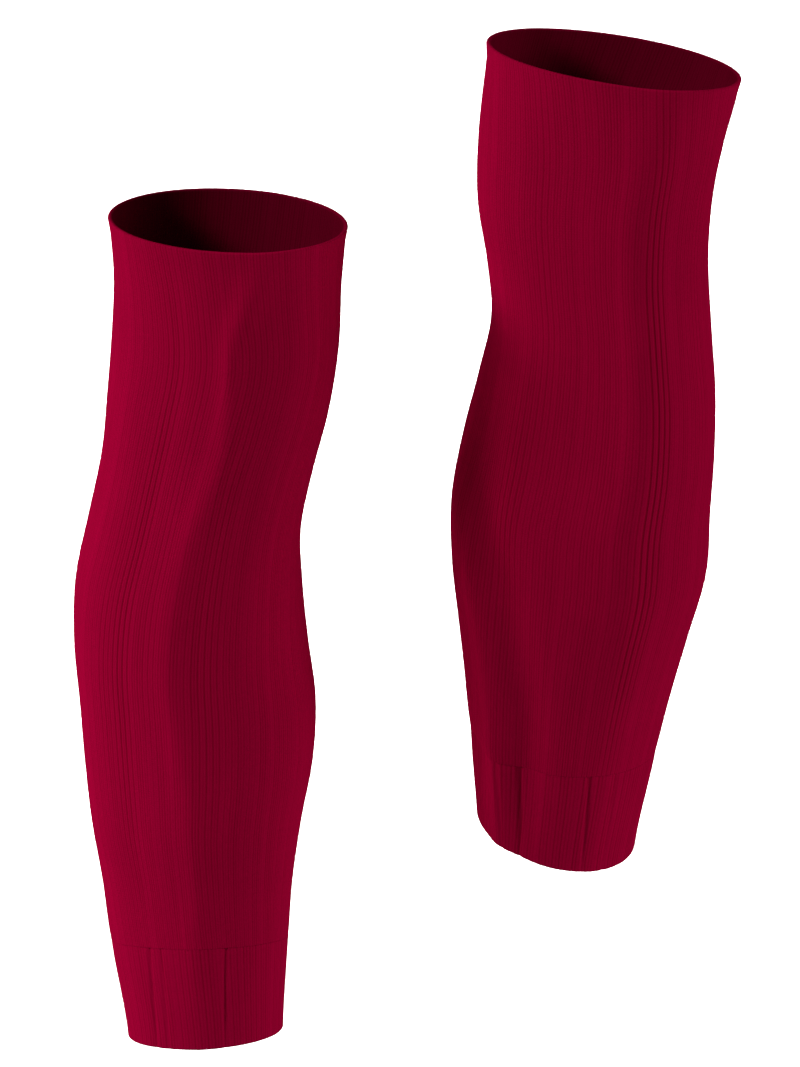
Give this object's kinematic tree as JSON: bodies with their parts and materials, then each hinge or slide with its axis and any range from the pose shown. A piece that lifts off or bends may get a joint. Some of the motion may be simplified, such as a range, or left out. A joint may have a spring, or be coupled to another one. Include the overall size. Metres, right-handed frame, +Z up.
{
  "type": "pair of ribbed knit leg sleeves",
  "caption": "Worn, hollow pair of footless knit leg sleeves with fine vertical ribs, from above the knee to the ankle, each with an ankle cuff.",
  "frame": {"origin": "middle of the right calf's widest section, where the wearer's leg holds the sleeve", "axes": "+Z up along the legs, -Y towards the shins and the picture's camera, +X towards the wearer's left leg"},
  "size_m": [0.334, 0.1675, 0.5236],
  "materials": {
    "leg_knit": "matt ribbed knit",
    "cuff_knit": "matt ribbed knit"
  },
  "bodies": {
    "root": {"right_leg_tube": "leg_knit", "right_ankle_cuff": "cuff_knit", "left_leg_tube": "leg_knit", "left_ankle_cuff": "cuff_knit"}
  },
  "joints": []
}
